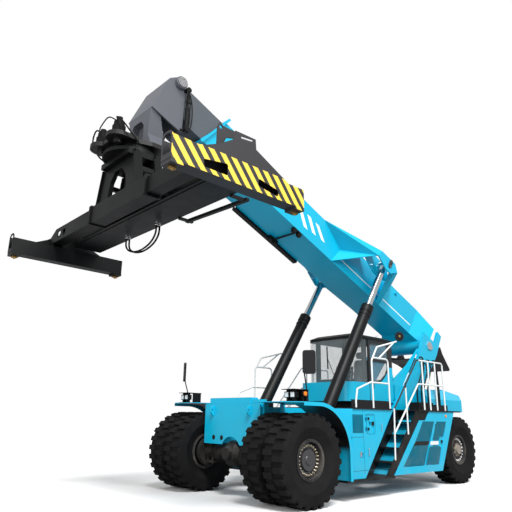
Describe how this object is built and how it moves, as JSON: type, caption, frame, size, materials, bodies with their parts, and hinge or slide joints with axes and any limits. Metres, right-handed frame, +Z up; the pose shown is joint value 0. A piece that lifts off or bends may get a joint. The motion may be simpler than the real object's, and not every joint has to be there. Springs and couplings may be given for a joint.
{
  "type": "reach stacker",
  "caption": "Container handler with a lifting telescopic boom, a slewing head and an extending spreader with twistlocks, on twin front wheels and a steered rear axle.",
  "frame": {"origin": "on the floor under the middle of the front axle", "axes": "+X forwards, towards the boom's head; +Y to the machine's left; +Z up"},
  "size_m": [12.425, 5.9985, 8.6],
  "materials": {
    "cyan_paint": "gloss",
    "black_paint": "satin",
    "grey_paint": "satin",
    "white_paint": "satin",
    "bright_steel": "polished",
    "dark_steel": "satin",
    "iron": "matt",
    "tyre": "matt",
    "rubber": "matt",
    "plastic": "matt",
    "glass": "clear"
  },
  "bodies": {
    "chassis": {"chassis_frame": "cyan_paint", "engine_block": "iron", "front_cross_beam": "black_paint", "front_fenders": "cyan_paint", "front_side_boxes": "cyan_paint", "rear_side_boxes": "cyan_paint", "stairs": "black_paint", "decks": "black_paint", "hand_rails": "white_paint", "counterweight": "cyan_paint", "tower": "cyan_paint", "boom_pivot_pin": "black_paint", "lift_base_pins": "dark_steel", "front_axle": "iron", "rear_axle": "iron", "cab_base": "black_paint", "cab_lower_body": "cyan_paint", "cab_frame": "black_paint", "cab_glass": "glass", "driver_seat": "plastic", "steering_console": "plastic", "mirrors": "plastic", "work_lamps": "plastic", "rear_hose_guard": "black_paint"},
    "cab_door_body": {"cab_door": "black_paint"},
    "front_left_wheel": {"front_left_tyres": "tyre", "front_left_rims": "black_paint", "front_left_hub": "iron"},
    "front_right_wheel": {"front_right_tyres": "tyre", "front_right_rims": "black_paint", "front_right_hub": "iron"},
    "rear_left_wheel": {"rear_left_tyre": "tyre", "rear_left_rim": "black_paint", "rear_left_hub": "white_paint"},
    "rear_right_wheel": {"rear_right_tyre": "tyre", "rear_right_rim": "black_paint", "rear_right_hub": "white_paint"},
    "left_knuckle": {"rear_left_knuckle": "iron"},
    "right_knuckle": {"rear_right_knuckle": "iron"},
    "boom": {"outer_boom": "cyan_paint", "boom_lugs": "cyan_paint", "hose_tray": "black_paint", "boom_lamps": "plastic"},
    "telescope": {"inner_boom": "grey_paint"},
    "head": {"rotator_head": "grey_paint", "head_pin": "dark_steel", "tilt_dampers": "black_paint", "slew_motors": "black_paint"},
    "carriage": {"slew_carriage": "black_paint"},
    "spreader": {"spreader_frame": "black_paint", "spreader_hoses": "rubber"},
    "left_end": {"spreader_end_left": "grey_paint", "twistlocks_left": "dark_steel"},
    "right_end": {"spreader_end_right": "black_paint", "twistlocks_right": "dark_steel"},
    "left_lift_barrel": {"lift_barrel_left": "black_paint"},
    "right_lift_barrel": {"lift_barrel_right": "black_paint"},
    "left_lift_rod": {"lift_rod_left": "bright_steel"},
    "right_lift_rod": {"lift_rod_right": "bright_steel"}
  },
  "joints": [
    {"name": "boom_luff", "type": "hinge", "parent": "chassis", "child": "boom", "pos_m": [-6.47, 0, 3.64], "axis": [0, -1, 0], "range_deg": [-23.2, 36.8]},
    {"name": "boom_extend", "type": "slide", "parent": "boom", "child": "telescope", "axis": [-0.9191, 0, -0.3939], "range_m": [-6.3, 0]},
    {"name": "head_level", "type": "hinge", "parent": "telescope", "child": "head", "pos_m": [2.29, 0, 8.45], "axis": [0, -1, 0], "range_deg": [-36.8, 23.2]},
    {"name": "rotator", "type": "hinge", "parent": "head", "child": "carriage", "pos_m": [3.05, 0, 6.6], "axis": [0, 0, 1], "range_deg": [-95, 185]},
    {"name": "side_shift", "type": "slide", "parent": "carriage", "child": "spreader", "axis": [0, 1, 0], "range_m": [-1.6, 0]},
    {"name": "spreader_extend_left", "type": "slide", "parent": "spreader", "child": "left_end", "axis": [0, 1, 0], "range_m": [0, 3.05]},
    {"name": "spreader_extend_right", "type": "slide", "parent": "spreader", "child": "right_end", "axis": [0, -1, 0], "range_m": [0, 3.05]},
    {"name": "steer_left", "type": "hinge", "parent": "chassis", "child": "left_knuckle", "pos_m": [-6.42, 0.93, 0.832], "axis": [0, 0, 1], "range_deg": [-45, 45]},
    {"name": "steer_right", "type": "hinge", "parent": "chassis", "child": "right_knuckle", "pos_m": [-6.42, -0.93, 0.832], "axis": [0, 0, 1], "range_deg": [-45, 45]},
    {"name": "door_hinge", "type": "hinge", "parent": "chassis", "child": "cab_door_body", "pos_m": [-4.624, 0.826, 2.9], "axis": [0, 0, 1], "range_deg": [0, 95]},
    {"name": "front_left_roll", "type": "hinge", "parent": "chassis", "child": "front_left_wheel", "pos_m": [0, 1.565, 0.832], "axis": [0, 1, 0], "continuous": true},
    {"name": "front_right_roll", "type": "hinge", "parent": "chassis", "child": "front_right_wheel", "pos_m": [0, -1.565, 0.832], "axis": [0, 1, 0], "continuous": true},
    {"name": "rear_left_roll", "type": "hinge", "parent": "left_knuckle", "child": "rear_left_wheel", "pos_m": [-6.42, 1.378, 0.832], "axis": [0, 1, 0], "continuous": true},
    {"name": "rear_right_roll", "type": "hinge", "parent": "right_knuckle", "child": "rear_right_wheel", "pos_m": [-6.42, -1.378, 0.832], "axis": [0, 1, 0], "continuous": true},
    {"name": "left_lift_barrel_pivot", "type": "hinge", "parent": "chassis", "child": "left_lift_barrel", "pos_m": [-1.24681, 1.06, 1.1], "axis": [0, -1, 0], "range_deg": [-2.75, 4.27]},
    {"name": "left_lift_rod_slide", "type": "slide", "parent": "left_lift_barrel", "child": "left_lift_rod", "axis": [-0.5454, 0, 0.8382], "range_m": [-1.1872, 1.8807]},
    {"name": "right_lift_barrel_pivot", "type": "hinge", "parent": "chassis", "child": "right_lift_barrel", "pos_m": [-1.24681, -1.06, 1.1], "axis": [0, -1, 0], "range_deg": [-2.75, 4.27]},
    {"name": "right_lift_rod_slide", "type": "slide", "parent": "right_lift_barrel", "child": "right_lift_rod", "axis": [-0.5454, 0, 0.8382], "range_m": [-1.1872, 1.8807]}
  ],
  "couplings": [
    {"joint": "head_level", "follows": "boom_luff", "ratio": -1},
    {"joint": "steer_right", "follows": "steer_left", "ratio": 1},
    {"joint": "spreader_extend_right", "follows": "spreader_extend_left", "ratio": 1},
    {"joint": "left_lift_barrel_pivot", "follows": "boom_luff", "ratio": 0.112},
    {"joint": "left_lift_rod_slide", "follows": "boom_luff", "m_per_rad": 2.922},
    {"joint": "right_lift_barrel_pivot", "follows": "boom_luff", "ratio": 0.112},
    {"joint": "right_lift_rod_slide", "follows": "boom_luff", "m_per_rad": 2.922}
  ]
}
